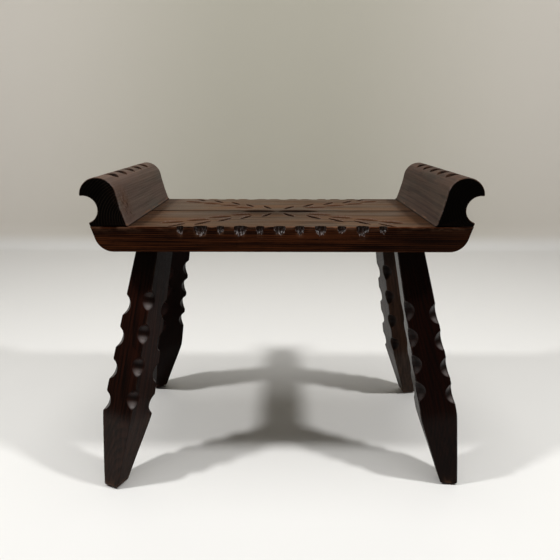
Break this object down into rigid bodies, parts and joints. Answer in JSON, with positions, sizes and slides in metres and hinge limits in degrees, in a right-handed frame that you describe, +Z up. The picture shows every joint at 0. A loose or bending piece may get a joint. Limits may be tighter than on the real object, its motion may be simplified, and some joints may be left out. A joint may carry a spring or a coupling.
{
  "type": "carved wooden stool",
  "caption": "Low carved wooden stool: plank seat with gouge-notched edges, a rolled rest with a finger grip at each end, and splayed square legs notched along their edges.",
  "frame": {"origin": "on the floor under the middle of the seat", "axes": "+X along the seat towards the right end rest, +Y from the front edge to the back edge, +Z up"},
  "size_m": [0.5059, 0.3216, 0.425],
  "materials": {
    "seat_wood": "dark stain under a satin lacquer, grain along the seat",
    "rest_wood": "dark stain under a satin lacquer, grain from front to back, end grain on the front",
    "leg_wood": "dark stain under a satin lacquer, grain along the leg",
    "dowel_wood": "bare beech, hidden in the joints"
  },
  "bodies": {
    "root": {"seat_plank_front": "seat_wood", "seat_plank_rear": "seat_wood", "seat_joint_dowels": "dowel_wood", "end_rest_left": "rest_wood", "end_rest_right": "rest_wood", "end_rest_dowels_left": "dowel_wood", "end_rest_dowels_right": "dowel_wood", "leg_front_left": "leg_wood", "leg_front_right": "leg_wood", "leg_rear_left": "leg_wood", "leg_rear_right": "leg_wood"}
  },
  "joints": []
}
